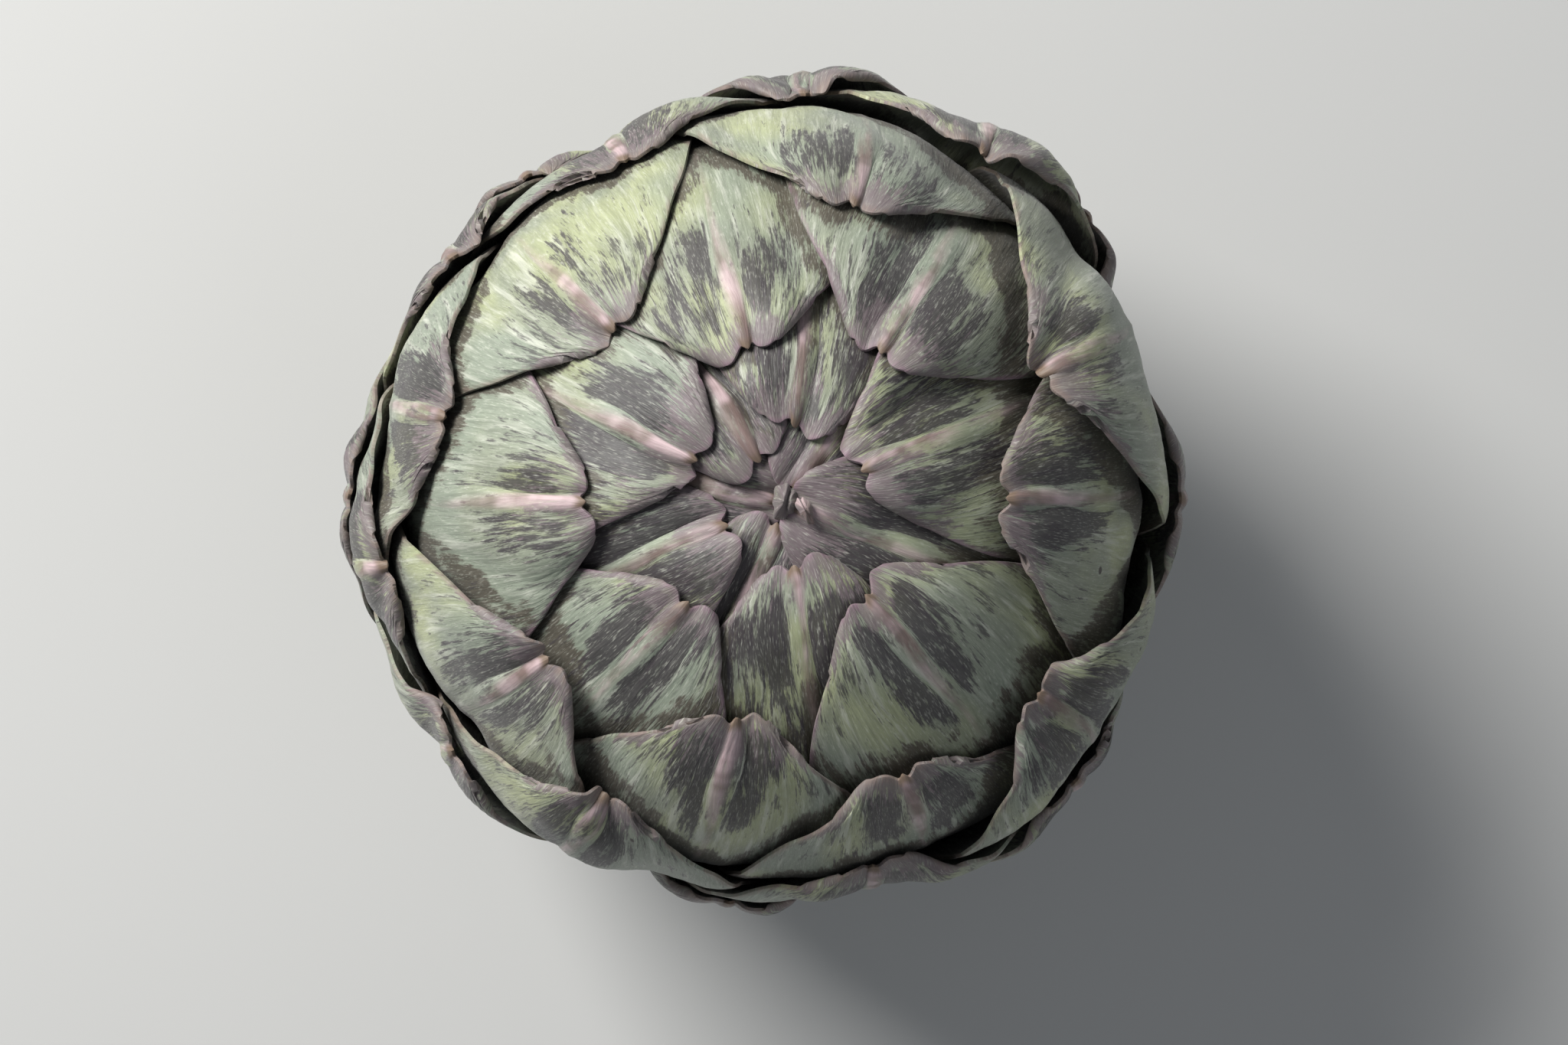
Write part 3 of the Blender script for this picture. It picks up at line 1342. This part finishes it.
@dataclass(frozen=True)
class SoftLight:
    """A square studio lamp that points at the head."""

    name: str
    place: tuple[float, float, float]
    size: float
    watts: float
    colour: Colour = (1.0, 1.0, 1.0)

    def hang(self, target: Array) -> None:
        """Adds the lamp to the scene, turned to a target."""
        lamp = bpy.data.lights.new(self.name, "AREA")
        lamp.shape = "SQUARE"
        lamp.size = self.size
        lamp.energy = self.watts
        lamp.color = self.colour
        holder = bpy.data.objects.new(self.name, lamp)
        bpy.context.scene.collection.objects.link(holder)
        away = np.array(self.place) - target
        tilt = math.atan2(math.hypot(away[0], away[1]), away[2])
        holder.location = self.place
        holder.rotation_euler = (tilt, 0.0, math.atan2(away[1], away[0]) + math.pi / 2.0)


@dataclass
class Studio:
    """The floor, the light and the camera."""

    floor: FloorFinish = field(default_factory=FloorFinish)
    floor_size: float = 6.0
    lamps: tuple[SoftLight, ...] = (
        SoftLight("key", (-0.52, 0.50, 0.62), 0.42, 17.0, (1.0, 0.99, 0.97)),
        SoftLight("fill", (0.60, -0.50, 0.80), 0.90, 2.2, (0.93, 0.96, 1.0)),
    )
    ambient: Colour = (0.175, 0.186, 0.205)
    camera_place: tuple[float, float, float] = (3.4 * MM, -3.5 * MM, 630.0 * MM)
    lens: float = 100.0
    sensor: float = 36.0

    def build(self) -> None:
        """Sets up everything round the head."""
        low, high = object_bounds()
        deselect_all()
        bpy.ops.mesh.primitive_plane_add(size=self.floor_size, location=(0.0, 0.0, 0.0))
        floor = bpy.context.object
        floor.name = "floor"
        self.floor.dress(floor)
        floor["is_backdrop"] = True
        target = (np.array(low) + np.array(high)) / 2.0
        for lamp in self.lamps:
            lamp.hang(target)
        world = bpy.data.worlds.new("studio")
        world.use_nodes = True
        world.node_tree.nodes["Background"].inputs["Color"].default_value = (*self.ambient, 1.0)
        bpy.context.scene.world = world
        bpy.context.scene.view_settings.view_transform = "Standard"
        camera = bpy.data.cameras.new("camera")
        camera.lens = self.lens
        camera.sensor_width = self.sensor
        camera.clip_start, camera.clip_end = 0.01, 20.0
        holder = bpy.data.objects.new("camera", camera)
        holder.location = self.camera_place
        bpy.context.scene.collection.objects.link(holder)
        bpy.context.scene.camera = holder
        log.info("studio: %d lamps", len(self.lamps))


def main() -> None:
    """Builds the artichoke and the studio round it."""
    logging.basicConfig(level=logging.INFO, format="%(name)s: %(message)s")
    effects = Effects()
    Studio().build()
    Heart().build(effects)
    Bracts().build(effects)


if __name__ == "__main__":
    main()
